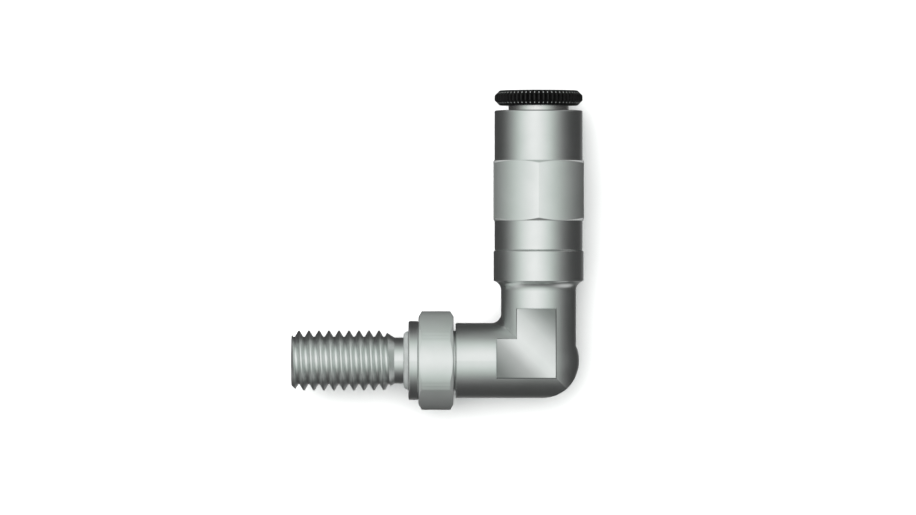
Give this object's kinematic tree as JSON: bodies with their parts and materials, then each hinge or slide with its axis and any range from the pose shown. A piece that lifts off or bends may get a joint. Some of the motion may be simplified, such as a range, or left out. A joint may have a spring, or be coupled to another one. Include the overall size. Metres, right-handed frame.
{
  "type": "lubricant adapter",
  "caption": "Adjustable 90 degree lubricant adapter: threaded stud with lock nut, forged elbow, and a hexagon push-in connector with a knurled release ring for small tube.",
  "frame": {"origin": "centre of the backing ring's port side, on the stud's axis", "axes": "-X along the stud, towards its tip; +Y along the tube, the way it leaves; Z across both, so the part lies flat on a surface"},
  "size_m": [0.0292, 0.0319, 0.0104],
  "materials": {
    "steel_body": "zinc plated, satin",
    "steel_bright": "turned, satin",
    "collet_brass": "nickel plated",
    "spacer_brass": "plain turned",
    "seal_grey": "grey elastomer, satin",
    "seal_black": "black elastomer, satin",
    "ring_black": "black, knurled"
  },
  "bodies": {
    "adapter": {"elbow_body": "steel_body", "connector_body": "steel_bright", "body_seal": "seal_black", "tube_seal": "seal_black", "spacer_ring": "spacer_brass"},
    "seal_carrier": {"backing_ring": "steel_bright", "stud_seal": "seal_grey"},
    "nut": {"lock_nut": "steel_bright"},
    "clamp": {"collet": "collet_brass"},
    "release": {"release_ring": "ring_black"}
  },
  "joints": [
    {"name": "seal_travel", "type": "slide", "parent": "adapter", "child": "seal_carrier", "axis": [-1, 0, 0], "range_m": [-0.00017, 0.00083]},
    {"name": "nut_turn", "type": "hinge", "parent": "seal_carrier", "child": "nut", "pos_m": [0.00275, 0, 0], "axis": [-1, 0, 0], "range_deg": [-60, 300]},
    {"name": "collet_press", "type": "slide", "parent": "adapter", "child": "clamp", "axis": [0, -1, 0], "range_m": [0, 0.00048]},
    {"name": "ring_spin", "type": "hinge", "parent": "clamp", "child": "release", "pos_m": [0.013, 0.02625, 0], "axis": [0, 1, 0], "continuous": true}
  ],
  "couplings": [
    {"joint": "nut_turn", "follows": "seal_travel", "rad_per_m": 6283.2}
  ]
}
